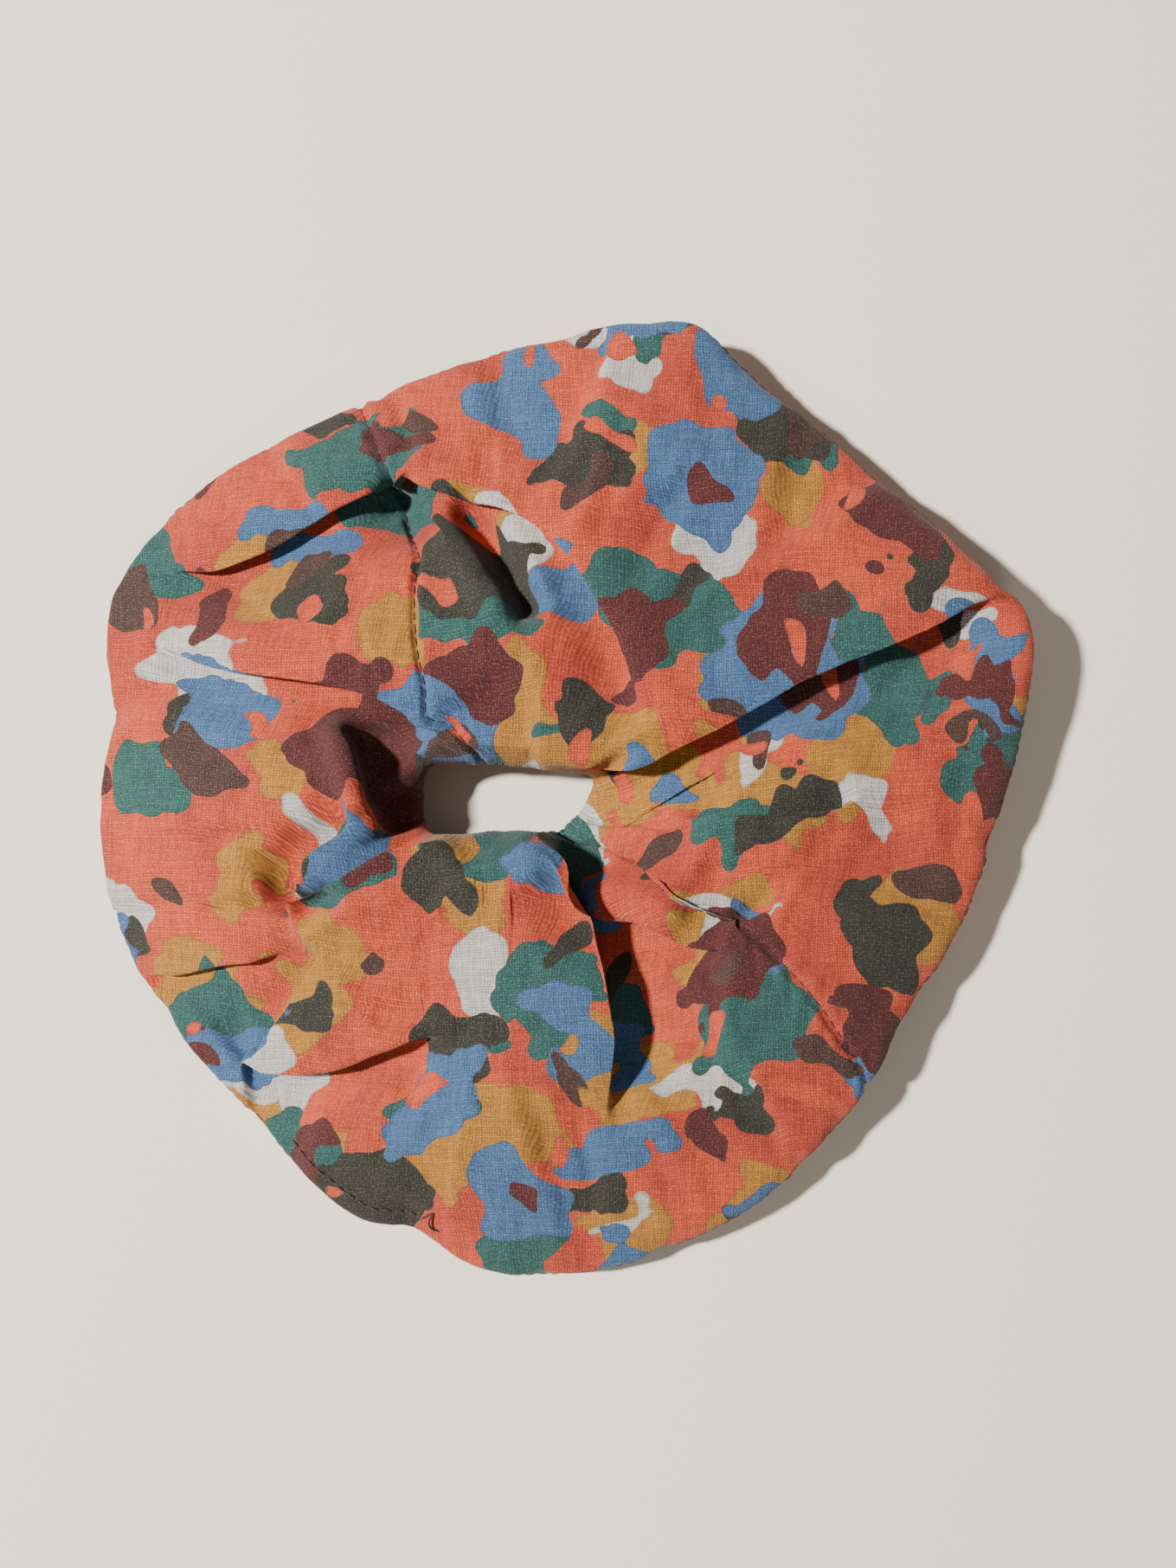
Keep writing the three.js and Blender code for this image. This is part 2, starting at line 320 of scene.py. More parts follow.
# The lap that runs from the left edge up to the peak.
fold([(-66, 43), (-56, 43), (-44, 47), (-34, 53), (-24, 57.5), (-16, 60)],
     over="left", width=4.6, up=2.2, down=4.4, fades=(14, 5), lap=2.5)
# The hollow under the peak, and the deep loop beside it.
fold([(-22.5, 59.5), (-19, 56.5), (-13.5, 52), (-11, 46)],
     over="left", width=3.2, up=2, down=4.4, fades=(2, 6))
swell([(-11, 55.5), (-5, 50), (-1, 43.6), (2.4, 37.5), (3.6, 34.8)], 2.3, -7.5, fades=(6, 0))
swell([(-15, 53), (-9, 45), (-3.6, 37), (1, 30.5)], 3.4, 1.6, fades=(5, 5))
swell([(-7, 56.5), (0, 50), (4.6, 43), (7.6, 36)], 3, 1.2, fades=(5, 5))

# The petal beside the hole, its pocket and the finger-shaped ridge over it.
fold([(-13, -5.6), (-18.5, -8.6), (-24, -11.4), (-30.5, -15.4), (-35.5, -18.2), (-41, -21.5)],
     over="left", width=4.4, up=2.2, down=5.4, fades=(0, 5), lap=2.5)
fold([(-38.6, -20.4), (-38, -14.6), (-35.2, -9.6), (-29.6, -5.6), (-28.4, -1.6), (-28.8, 3)],
     over="right", width=2.8, up=1.8, down=2.8, fades=(1.5, 5))
swell([(-31.6, 17), (-29.6, 10), (-28, 4), (-26, -2.6)], 2.4, 3.6, fades=(4, 3))
fold([(-28.4, 14), (-26.6, 8.6), (-25.2, 3), (-23.6, -2.6), (-22.6, -7)],
     over="right", width=2.6, up=0.8, down=5.2, fades=(4, 3), spread=2.8)
swell([(-37.4, -19.6), (-33.6, -17.4), (-29.6, -15.6)], 1.8, -4.4, fades=(1, 2))

# The lower panel's bulge and the deep valley on its right.
fold([(6, -5), (9.6, -10), (11, -16), (12.8, -22), (14.6, -28), (16.2, -36), (17.4, -44), (18.4, -52),
      (19, -60)], over="right", width=6, up=2.4, down=10, fades=(0, 20), spread=2.5, lap=2.6)
# The rolled lobe next to it: a lap above it and a lap below it.
fold([(15.6, -4.4), (18.4, -8.2), (21.8, -9), (26, -13), (30, -16.4), (38.6, -20.4), (41.6, -22.4)],
     over="left", width=2.8, up=1.2, down=2.4, fades=(3, 4))
swell([(14.4, -14.6), (20, -16), (27, -18.4), (34, -21)], 4.2, 4, fades=(3, 6))
fold([(10.6, -14), (13.4, -19), (18.6, -21), (24.4, -21.4), (30, -24), (34.6, -25.8), (41, -26)],
     over="left", width=3, up=1.2, down=4.2, fades=(0, 6))

# The lower left: a beak-shaped lap, its ridge and the shallow lap over it.
fold([(-49.8, -48.2), (-36, -48), (-29.2, -46.4), (-24.2, -44), (-16.6, -42), (-8, -41)],
     over="left", width=4, up=2, down=3.8, fades=(2, 14), lap=2.5)
fold([(-50, -48.6), (-44.2, -43.6), (-38.6, -37), (-34.8, -30.4), (-32, -24)],
     over="right", width=4, up=1.8, down=3.6, fades=(2, 8), lap=2.5)
fold([(-27, -37.6), (-22, -39.4), (-12, -39)], over="right", width=2.2, up=0.5, down=1.2, fades=(5, 5))
fold([(-69.4, -32.6), (-60, -30.6), (-50, -28.4), (-38, -27)], over="left", width=3.6, up=0.7, down=1.6,
     fades=(8, 10))

# The small pleats that fan out to the right of the hole.
fold([(14, -1.6), (21.4, -3), (28, 0.4), (34.6, 4.6), (41, 7)], over="left", width=2.6, up=0.8, down=1.8,
     fades=(3, 8))
fold([(30.6, -2.6), (44, -2.4), (57.4, -1.8), (61, 0), (65, 3.4)], over="right", width=2.6, up=1, down=2,
     fades=(6, 8))
fold([(13, -3.8), (21.6, -4.4), (30, -5)], over="right", width=2, up=0.8, down=1.4, fades=(2, 5))
swell([(32.6, -9.6), (40.6, -15.4), (48.6, -21.6)], 3.6, -1.5)
swell([(24, 3), (40, 12), (56, 18.5), (74, 23)], 3.4, -1.3, fades=(8, 14))
swell([(50, -3), (64, -4), (78, -2)], 5, -1.2, fades=(10, 10))
swell([(10.6, -1), (19, 4.4), (27, 9.4)], 1.8, 1.4, fades=(2, 6))

# Small gathers round the hole, which fade outwards: (degrees, length, dip).
GATHERS = [
    (8, 16, 1.6), (19, 12, 1.2), (160, 12, 1.6), (176, 15, 1.8), (192, 10, 1.4), (238, 13, 0.7),
    (268, 14, 0.7), (316, 14, 1.2), (338, 13, 1.2),
]


def ray(degrees, *distances):
    """Points at these distances from the hole's middle, all in one direction."""
    a = math.radians(degrees)
    return [(d * math.cos(a), d * math.sin(a)) for d in distances]


for degrees, long, dip in GATHERS:
    start = float(around(HOLE_RIM, np.array(degrees))) - 1
    swell(ray(degrees, start, start + long / 2, start + long), 1.3 + long * 0.04, -dip, fades=(0, long * 0.7))

# Faint creases that the cloth keeps from being handled: (degrees, start, length, lift).
CREASES = [
    (3, 50, 34, 0.5), (29, 46, 40, -0.5), (47, 40, 42, 0.45), (60, 36, 40, -0.6), (76, 40, 40, 0.5),
    (92, 34, 44, -0.55), (127, 44, 30, 0.5), (141, 40, 36, -0.6), (166, 46, 26, 0.5), (186, 40, 34, -0.5),
    (199, 38, 34, 0.55), (218, 34, 40, -0.6), (231, 38, 34, 0.4), (249, 30, 48, -0.6), (263, 36, 46, 0.5),
    (281, 34, 50, -0.6), (296, 44, 38, 0.5), (309, 40, 42, -0.5), (330, 50, 30, 0.5), (350, 48, 34, -0.6),
]
for degrees, start, long, lift in CREASES:
    a, b, c = ray(degrees, start, start + long / 2, start + long)
    bent = (b[0] + 1.5 * lift * b[1] / start, b[1] - 1.5 * lift * b[0] / start)
    swell([a, bent, c], 2.6, lift, fades=(long * 0.4, long * 0.4))

# The underside rests on the table in loose gathers that rise between the places where it touches.
UNDER_FOLDS = 13
for k in range(UNDER_FOLDS):
    degrees = 14 + k * 360 / UNDER_FOLDS + 6 * math.sin(3.1 * k)
    bend = 5 * math.sin(1.7 * k)
    far_end = 62 + 6 * math.sin(2.3 * k)
    route = ray(degrees, 18) + ray(degrees + bend, 40) + ray(degrees + bend * 1.6, far_end)
    fold(route, over="left" if k % 3 else "right", width=3.8, up=-2.4 if k % 2 else -1.2, down=-3.4, lap=1.9,
         fades=(3, 22), under=True)


# The elastic draws the cloth in, far more at the hole than at the outer edge. The surplus stands in
# fine pleats on the underside and low on the hole's wall. Their spacing and depth vary round the ring.
PLEATS = 60
# (share of the way out, height): low under the elastic, higher where the tube is hollow
PLEAT_HEIGHT = [(0.1, 2.1), (0.2, 2.4), (0.32, 6.2), (0.62, 6.6), (0.82, 4.2), (0.96, 0)]
NEAR_ELASTIC = 1.9  # the most that a pleat rises near the elastic
WALL_RISE, WALL_BULGE = 0.4, 0.9
round_it = np.radians(angles)
wave = PLEATS * round_it + 1.6 * np.sin(5 * round_it + 0.7) + 1.1 * np.sin(11 * round_it + 2)
uneven = 0.78 + 0.22 * np.sin(7 * round_it + 1) * np.sin(3 * round_it)
pleat = (1 - np.cos(wave)) / 2 * uneven
tall = np.interp(share, *zip(*PLEAT_HEIGHT))
tall = np.minimum(tall, NEAR_ELASTIC + 5 * smoothstep(distance, 27.5, 34))
low_wall = 1 - smoothstep(places, 2.2, 3.8)[:, None]
under_side = smoothstep(places, 15, 16.6)[:, None]
cloth[..., 2] += tall * pleat * np.maximum(low_wall * WALL_RISE, under_side)
away = np.stack([np.cos(turned), np.sin(turned)], axis=-1)
cloth[..., :2] += away * (WALL_BULGE * pleat * low_wall)[..., None]


def limited(drop, most):
    """A drop that never passes most, and nears it softly."""
    return most * np.tanh(drop / np.maximum(most, 0.1))


# The folds of the upper side leave some thickness below them, and nothing goes into the table.
DEEPEST = 0.72  # the share of the thickness that a fold may take
TABLE = 0.05  # the lowest that the cloth may lie
change = cloth[..., 2] - base[..., 2]
thickness = base[..., 2] - 0.4 * share.clip(0, 1)
shallower = np.where(change < 0, -limited(-change, DEEPEST * thickness), change)
change = np.where(places[:, None] < OUTER_EDGE, shallower, change)
cloth[..., 2] = np.maximum(base[..., 2] + change, TABLE)


def smoothed(grid, times, amount=0.5):
    """The grid with every point drawn towards the mean of its four neighbours."""
    for _ in range(times):
        mean = (np.roll(grid, 1, 0) + np.roll(grid, -1, 0) + np.roll(grid, 1, 1) + np.roll(grid, -1, 1)) / 4
        grid = grid + amount * (mean - grid)
    return grid


cloth = smoothed(cloth, 3)

# ---------------------------------------------------------------- cloth simulation


def add_mesh(name, points, faces, smooth=True):
    """An object in the scene, from lists of points and faces."""
    mesh = bpy.data.meshes.new(name)
    mesh.from_pydata(points, [], faces)
    mesh.polygons.foreach_set("use_smooth", [smooth] * len(mesh.polygons))
    mesh.update()
    piece = bpy.data.objects.new(name, mesh)
    bpy.context.scene.collection.objects.link(piece)
    return piece


def placed(points):
    """Points in millimetres from the hole's middle, as metres in the frame."""
    return (points + [HOLE[0], HOLE[1], 0]) * MM


def tube_mesh(name, points):
    """A closed tube through a grid of points, both ways round."""
    index = np.arange(points.shape[0] * points.shape[1]).reshape(points.shape[:2])
    down, across = np.roll(index, -1, 0), np.roll(index, -1, 1)
    faces = np.stack([index, across, np.roll(down, -1, 1), down], axis=-1).reshape(-1, 4)
    return add_mesh(name, points.reshape(-1, 3).tolist(), faces.tolist())


def stretched_out(coarse, steps):
    """A coarse grid brought back to the fine one, round both ways."""
    for axis, count in enumerate(steps):
        length = coarse.shape[axis]
        at = np.arange(length * count) / count
        low = at.astype(int)
        part = (at - low).reshape([-1 if k == axis else 1 for k in range(3)])
        part = part * part * (3 - 2 * part)
        a = np.take(coarse, low, axis)
        b = np.take(coarse, (low + 1) % length, axis)
        coarse = a + (b - a) * part
    return coarse


COARSE = (3, 5)  # the simulation takes every third row and every fifth line
SIM_SCALE = 0.01  # it runs at ten times the real size, where its solver is at home
SIM_FRAMES = 18
MOST_SHIFT = 1.3  # the farthest that it may move the cloth
FIRM, LOOSE = 1.0, 0.3  # how well the cloth is held at the elastic, and elsewhere


def relaxed(grid):
    """The cover after a short cloth simulation: the cloth has a little too much length and buckles."""
    coarse = grid[:: COARSE[0], :: COARSE[1]]
    piece = tube_mesh("relaxing", coarse * SIM_SCALE)
    pins = piece.vertex_groups.new(name="held")
    rows = places[:: COARSE[0]]
    hold = np.where((rows < 5) | (rows > 17), FIRM, LOOSE)
    for weight in (FIRM, LOOSE):
        chosen = np.nonzero(np.repeat(hold, coarse.shape[1]) == weight)[0]
        pins.add(chosen.tolist(), weight, "REPLACE")
    modifier = piece.modifiers.new("cloth", "CLOTH")
    settings = modifier.settings
    settings.quality = 6
    settings.mass = 0.15
    settings.tension_stiffness = settings.compression_stiffness = 20
    settings.shear_stiffness = 8
    settings.bending_stiffness = 0.2
    settings.shrink_min = -0.022
    settings.vertex_group_mass = "held"
    settings.pin_stiffness = 1.2
    settings.effector_weights.gravity = 0.1
    modifier.point_cache.frame_start = 1
    modifier.point_cache.frame_end = SIM_FRAMES
    scene = bpy.context.scene
    for frame_number in range(1, SIM_FRAMES + 1):
        scene.frame_set(frame_number)
    result = piece.evaluated_get(bpy.context.evaluated_depsgraph_get()).to_mesh()
    moved = np.empty(coarse.size, np.float32)
    result.vertices.foreach_get("co", moved)
    shift = moved.reshape(coarse.shape) / SIM_SCALE - coarse
    scene.frame_set(1)
    bpy.data.objects.remove(piece)
    size = np.linalg.norm(shift, axis=-1, keepdims=True)
    shift *= MOST_SHIFT / np.maximum(size, MOST_SHIFT)
    print(f"the cloth moved by up to {size.max():.2f} mm, {size.mean():.2f} mm on average")
    return grid + stretched_out(smoothed(shift, 1), COARSE)


cloth = relaxed(cloth)
cloth[..., 2] = np.maximum(cloth[..., 2], TABLE)
cloth = smoothed(cloth, 2)

# ---------------------------------------------------------------- seams


def outward(grid):
    """The cloth's outward direction at every point of the grid."""
    across = np.roll(grid, -1, 1) - np.roll(grid, 1, 1)
    down = np.roll(grid, -1, 0) - np.roll(grid, 1, 0)
    n = np.cross(across, down)
    n /= np.linalg.norm(n, axis=-1, keepdims=True) + 1e-9
    return n * np.sign(n[row_at(UPPER_MIDDLE), :, 2].mean())


def beside_seam(line):
    """How far every point lies from an end seam, in millimetres along the cloth."""
    gap = np.linalg.norm(np.roll(cloth, -1, 1) - cloth, axis=-1)
    gap = np.minimum(gap, 1.2)  # the steep side of a fold counts as no more than this
    onward = np.cumsum(np.roll(gap, -line, 1), axis=1)
    onward = np.concatenate([np.zeros_like(onward[:, :1]), onward[:, :-1]], axis=1)
    back = onward[:, -1:] - onward
    return np.roll(np.minimum(onward, back), line, 1)


SEAM_DEPTH, SEAM_WIDTH = 0.85, 0.7
EDGE_DEPTH, EDGE_WIDTH = 0.45, 0.6
PUCKER_DEPTH, PUCKER_LENGTH = 0.2, 5.2
RIPPLES = ((0.05, 10), (0.03, 6))  # (height, length)
normal = outward(cloth)
sink = np.zeros(cloth.shape[:2])
along_row = np.cumsum(np.linalg.norm(np.diff(cloth, axis=0, prepend=cloth[:1]), axis=-1), axis=0)
for line in (0, UPPER_LINES):
    off = beside_seam(line)
    sink += SEAM_DEPTH * np.exp(-((off / SEAM_WIDTH) ** 2))
    # The seam draws the cloth in, which puckers it on both sides.
    pucker = PUCKER_DEPTH * np.sin(along_row * 2 * np.pi / PUCKER_LENGTH + line)
    sink += pucker * np.exp(-((off - 2.2) / 1.8) ** 2)
off_edge = np.abs(along_row - along_row[row_at(OUTER_EDGE)])
sink += EDGE_DEPTH * np.exp(-((off_edge / EDGE_WIDTH) ** 2))
# Faint ripples all over, as cotton has after it was turned through.
for size, long in RIPPLES:
    for _ in range(3):
        a, phase = rng.uniform(0, 2 * np.pi, 2)
        onward = cloth[..., 0] * math.cos(a) + cloth[..., 1] * math.sin(a)
        sink += size * np.sin(onward * 2 * np.pi / long + phase)
cloth = cloth - normal * sink[..., None]

# The elastic runs inside the tube, so the cloth passes over and under it with a little room.
BAND = 2.7  # how far the elastic reaches in from its outside, with its waves
RING = (elastic_high[0] - elastic_low[0]) / 2 - BAND / 2
ROOM = 0.7
from_ring = np.abs(np.hypot(cloth[..., 0], cloth[..., 1]) - RING)
elsewhere = 20 * smoothstep(from_ring, 2.4, 5)  # away from the elastic nothing is held back
below = ((places > 14.5) | (places < 1.2))[:, None]
above = ((places > 5) & (places < 12.5))[:, None]
under_it = np.minimum(cloth[..., 2], elastic_low[2] - ROOM + elsewhere)
over_it = np.maximum(cloth[..., 2], elastic_high[2] + ROOM - elsewhere)
cloth[..., 2] = np.where(below, under_it, np.where(above, over_it, cloth[..., 2]))
cloth[..., 2] = np.maximum(cloth[..., 2], TABLE)

# ---------------------------------------------------------------- panels as meshes


def grid_mesh(name, points):
    """A mesh through a grid of points, rows by lines; the rows close into a tube."""
    rows, lines = points.shape[:2]
    index = np.arange(rows * lines).reshape(rows, lines)
    a = index[:, :-1]
    b = index[:, 1:]
    c = np.roll(index, -1, 0)[:, 1:]
    d = np.roll(index, -1, 0)[:, :-1]
    faces = np.stack([a, b, c, d], axis=-1).reshape(-1, 4)
    return add_mesh(name, placed(points.reshape(-1, 3)).tolist(), faces.tolist())


# The grid's lines from one end seam to the other; the two panels share the seams' lines.
upper_lines = np.arange(0, UPPER_LINES + 1)
lower_lines = np.arange(UPPER_LINES, LINES + 1) % LINES
cover_upper = grid_mesh("cover_upper", cloth[:, upper_lines])
cover_lower = grid_mesh("cover_lower", cloth[:, lower_lines])
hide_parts("cover_panel_upper")
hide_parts("cover_panel_lower")

# ---------------------------------------------------------------- the print

# A generic print of lobed patches, scattered by chance: no patch has a place of its own.
# Colour: how many patches, the longest and the shortest half axis, in the order of printing.
PRINT = {
    "ochre": (40, 15, 7),
    "white": (26, 11, 5),
    "teal": (34, 13, 5),
    "green": (38, 13, 5),
    "blue": (36, 13, 5),
    "maroon": (32, 12, 4.5),
    "brown": (30, 6, 2.5),
    "coral": (46, 5.5, 2.2),
}
PRINT_REACH = 98  # the print covers a square of twice this
COLORS = {
    "coral": (0.45, 0.058, 0.025), "deep coral": (0.36, 0.043, 0.022), "ochre": (0.33, 0.14, 0.019),
    "white": (0.41, 0.385, 0.37), "teal": (0.017, 0.076, 0.069), "green": (0.023, 0.023, 0.017),
    "blue": (0.044, 0.103, 0.22), "maroon": (0.07, 0.0122, 0.0132), "brown": (0.05, 0.023, 0.019),
}
LAYERS = list(PRINT)


def scattered(count, most, least):
    """Ellipses spread evenly but by chance: middle x, y, half axes, turn in degrees."""
    patches = []
    while len(patches) < count:
        tries = rng.uniform(-PRINT_REACH, PRINT_REACH, (12, 2))
        taken = np.array([patch[:2] for patch in patches]).reshape(-1, 2)
        room = np.linalg.norm(tries[:, None] - taken[None], axis=-1).min(axis=1, initial=PRINT_REACH)
        x, y = tries[room.argmax()]
        long = rng.uniform(least, most)
        patches.append((x, y, long, long * rng.uniform(0.5, 0.95), rng.uniform(0, 180)))
    return patches


PATCHES = {color: scattered(*how) for color, how in PRINT.items()}


DRIFTS = ((30, 1.8), (15, 1.3), (8.5, 0.9))  # (length, size)


def wander(xy, seed):
    """A slow sideways drift, so that no patch keeps its ellipse's outline."""
    waves = np.random.default_rng(seed)
    out = np.zeros_like(xy)
    for scale, size in DRIFTS:
        for axis in (0, 1):
            for _ in range(3):
                a, phase = waves.uniform(0, 2 * np.pi, 2)
                turn = 2 * np.pi / scale * (np.cos(a) * xy[..., 0] + np.sin(a) * xy[..., 1])
                out[..., axis] += size * np.sin(turn + phase) / 1.7
    return xy + out


def inside(patches, xy):
    """How far each point lies inside the nearest patch of a colour, in millimetres."""
    best = np.full(xy.shape[:-1], -30.0)  # far outside
    for x, y, long, short, turn in patches:
        a = math.radians(turn)
        dx, dy = xy[..., 0] - x, xy[..., 1] - y
        along = (dx * math.cos(a) + dy * math.sin(a)) / long
        aside = (dy * math.cos(a) - dx * math.sin(a)) / short
        best = np.maximum(best, (1 - np.sqrt(along**2 + aside**2)) * min(long, short))
    return best


HIDDEN_SHIFT = np.array([1.1, -0.9])  # how far the print moves on for each millimetre of depth
WALL_TOP = 20.6


def print_place(points):
    """Where on the print each point of the cloth lies. What a fold hides takes its share of the print."""
    level = np.where(places[:, None] < TOP_STARTS, WALL_TOP, base[..., 2])
    hidden = points[..., 2] - level
    return points[..., :2] + hidden[..., None] * HIDDEN_SHIFT


on_print = print_place(cloth)
over_edge = smoothstep(places, OUTER_EDGE - 0.5, OUTER_EDGE + 2)[:, None]
# The underside shows the print turned and moved on, so it doesn't mirror the upper side.
far_side = on_print[..., ::-1] * [1, -1] + [9, -4]
UPPER_SEED, UNDER_SEED = 40, 60
ink = {}
for k, color in enumerate(LAYERS):
    ink[color] = (
        inside(PATCHES[color], wander(on_print, UPPER_SEED + k)) * (1 - over_edge)
        + inside(PATCHES[color], wander(far_side, UNDER_SEED + k)) * over_edge
    )


def store(piece, name, values):
    """A vector for each point of a piece, for its material to read."""
    kept = piece.data.attributes.new(name, "FLOAT_VECTOR", "POINT")
    kept.data.foreach_set("vector", values.reshape(-1, 3).astype(np.float32).ravel())


zero = np.zeros_like(ink["ochre"])
for piece, lines in ((cover_upper, upper_lines), (cover_lower, lower_lines)):
    for name, parts in (
        ("ink_a", [ink["ochre"], ink["white"], ink["teal"]]),
        ("ink_b", [ink["green"], ink["blue"], ink["maroon"]]),
        ("ink_c", [ink["brown"], ink["coral"], zero]),
        ("thread", [on_print[..., 0], on_print[..., 1], over_edge + zero]),
    ):
        store(piece, name, np.stack(parts, axis=-1)[:, lines])

# ---------------------------------------------------------------- materials


class Graph:
    """A material's nodes, made by short calls."""

    def __init__(self, name):
        self.material = bpy.data.materials.new(name)
        self.material.use_nodes = True
        self.tree = self.material.node_tree
        self.shader = self.tree.nodes["Principled BSDF"]

    def node(self, kind, inputs=(), **settings):
        made = self.tree.nodes.new(kind)
        for name, value in settings.items():
            setattr(made, name, value)
        for socket, value in dict(inputs).items():
            self.set(made.inputs[socket], value)
        return made

    def set(self, socket, value):
        if isinstance(value, bpy.types.NodeSocket):
            self.tree.links.new(value, socket)
        elif isinstance(value, bpy.types.Node):
            self.tree.links.new(value.outputs[0], socket)
        else:
            socket.default_value = value

    def math(self, operation, a, b=0.0, c=0.5):
        return self.node("ShaderNodeMath", {0: a, 1: b, 2: c}, operation=operation).outputs[0]

    def ramp(self, value, low, high, to_low=0.0, to_high=1.0):
        made = self.node("ShaderNodeMapRange", {0: value, 1: low, 2: high, 3: to_low, 4: to_high})
        made.interpolation_type = "SMOOTHSTEP"
        return made.outputs[0]

    def mix(self, factor, a, b, blend="MIX"):
        made = self.node("ShaderNodeMix", data_type="RGBA", blend_type=blend)
        self.set(made.inputs[0], factor)
        self.set(made.inputs[6], a)
        self.set(made.inputs[7], b)
        return made.outputs[2]

    def split(self, attribute):
        vector = self.node("ShaderNodeAttribute", attribute_name=attribute).outputs["Vector"]
        return vector, self.node("ShaderNodeSeparateXYZ", {0: vector}).outputs

    def noise(self, vector, scale, detail=2.0, roughness=0.5):
        inputs = {"Vector": vector, "Scale": scale, "Detail": detail, "Roughness": roughness}
        return self.node("ShaderNodeTexNoise", inputs).outputs[0]

    def scaled(self, vector, factors):
        return self.node("ShaderNodeVectorMath", {0: vector, 1: factors}, operation="MULTIPLY")

    def bump(self, strength, distance, height):
        inputs = {"Strength": strength, "Distance": distance, "Height": height}
        self.set(self.shader.inputs["Normal"], self.node("ShaderNodeBump", inputs))


def rgba(color, times=1):
    """A colour with full opacity, made lighter or darker by a factor."""
    return (*(times * part for part in color), 1)


SCALLOP_SCALE = 0.21
SCALLOP_MIDDLE = 0.42  # the cell distance at which a patch's edge stays where it is
BIG_SCALLOP, SMALL_SCALLOP = 3.2, 1.4
EDGE_SOFTNESS = 0.07
INK_EDGE = (0.03, 0.02, 0.02)
BARE_COTTON = (0.5, 0.42, 0.35)
THREAD_PITCH = 0.5
CROSSING, PLAIN = 0.4, 0.5  # how much of a thread's height varies where another crosses it, and the rest


def printed_cotton():
    """Plain-weave cotton, printed with overlapping inks, with painted shade between its threads and painted
    highlight on their crowns.
    """
    g = Graph("printed_cotton")
    place, (x, y, _) = g.split("thread")
    _, (ochre, white, teal) = g.split("ink_a")
    _, (green, blue, maroon) = g.split("ink_b")
    _, (brown, coral, _) = g.split("ink_c")
    fields = {"ochre": ochre, "white": white, "teal": teal, "green": green, "blue": blue, "maroon": maroon,
              "brown": brown, "coral": coral}
    tone = g.ramp(g.noise(place, 0.045, 1.0), 0.45, 0.6)
    color = g.mix(tone, rgba(COLORS["coral"]), rgba(COLORS["deep coral"]))
    for k, name in enumerate(LAYERS):
        # Rounded scallops along each patch's edge, finer on the small patches.
        shifted = g.node("ShaderNodeVectorMath", {0: place, 1: (17.0 * k, 9.0 * k, 0)}, operation="ADD")
        cells = {"Vector": shifted, "Scale": SCALLOP_SCALE}
        lobes = g.node("ShaderNodeTexVoronoi", cells, feature="SMOOTH_F1")
        lobes.inputs["Smoothness"].default_value = 0.25
        size = SMALL_SCALLOP if name in ("brown", "coral") else BIG_SCALLOP
        wave = g.math("MULTIPLY", g.math("SUBTRACT", SCALLOP_MIDDLE, lobes.outputs["Distance"]), size)
        edge = g.math("ADD", fields[name], wave)
        mask = g.ramp(edge, -EDGE_SOFTNESS, EDGE_SOFTNESS)
        color = g.mix(mask, color, rgba(COLORS[name]))
        # The inks overlap a little, which darkens the edge.
        rim = g.math("MULTIPLY", mask, g.ramp(edge, 0.12, 0.4, 0.3, 0.0))
        color = g.mix(rim, color, rgba(INK_EDGE))

    # Plain weave: warp and weft take turns on top.
    u = g.math("DIVIDE", x, THREAD_PITCH)
    v = g.math("DIVIDE", y, THREAD_PITCH)
    warp = g.math("ABSOLUTE", g.math("SINE", g.math("MULTIPLY", u, math.pi)))
    weft = g.math("ABSOLUTE", g.math("SINE", g.math("MULTIPLY", v, math.pi)))
    turn = g.math("MODULO", g.math("ABSOLUTE", g.math("ADD", g.math("FLOOR", u), g.math("FLOOR", v))), 2.0)
    on_top = g.math("MULTIPLY", warp, g.math("MULTIPLY_ADD", weft, CROSSING, PLAIN))
    below = g.math("MULTIPLY", weft, g.math("MULTIPLY_ADD", warp, CROSSING, PLAIN))
    threads = g.node("ShaderNodeMix", {0: turn, 2: on_top, 3: below}, data_type="FLOAT").outputs[0]
    # Slubs: stretched noise along each set of threads.
    slub_u = g.noise(g.scaled(place, (2.0, 0.16, 1.0)), 1.0)
    slub_v = g.noise(g.scaled(place, (0.16, 2.0, 1.0)), 1.0)
    uneven = g.math("ADD", slub_u, slub_v)
    grain = g.noise(place, 2.6, 2.0, 0.7)
    # Painted shade and highlight: the colour is darker in the gaps between threads and lighter on their
    # crowns. The slubs add the yarn's own uneven tone.
    light = g.math("ADD", g.ramp(threads, 0.0, 1.0, 0.66, 1.2), g.ramp(uneven, 0.7, 1.3, -0.2, 0.2))
    color = g.mix(1.0, color, g.node("ShaderNodeCombineXYZ", {0: light, 1: light, 2: light}), "MULTIPLY")
    bare = g.math("MULTIPLY", g.ramp(grain, 0.5, 0.66), 0.75)
    # Where the ink misses a thread the cotton is paler, by less on the dark inks, which soak in.
    paler = g.mix(0.12, g.mix(1.0, color, rgba((1.7, 1.7, 1.7)), "MULTIPLY"), rgba(BARE_COTTON))
    color = g.mix(bare, color, paler)
    g.set(g.shader.inputs["Base Color"], color)
    g.set(g.shader.inputs["Roughness"], g.ramp(threads, 0.0, 1.0, 0.95, 0.78))
    g.shader.inputs["Specular IOR Level"].default_value = 0.3
    g.shader.inputs["Sheen Weight"].default_value = 0.12
    g.shader.inputs["Sheen Roughness"].default_value = 0.5
    g.bump(0.35, 0.0002, threads)
    return g.material


cotton = printed_cotton()
for piece in (cover_upper, cover_lower):
    piece.data.materials.append(cotton)


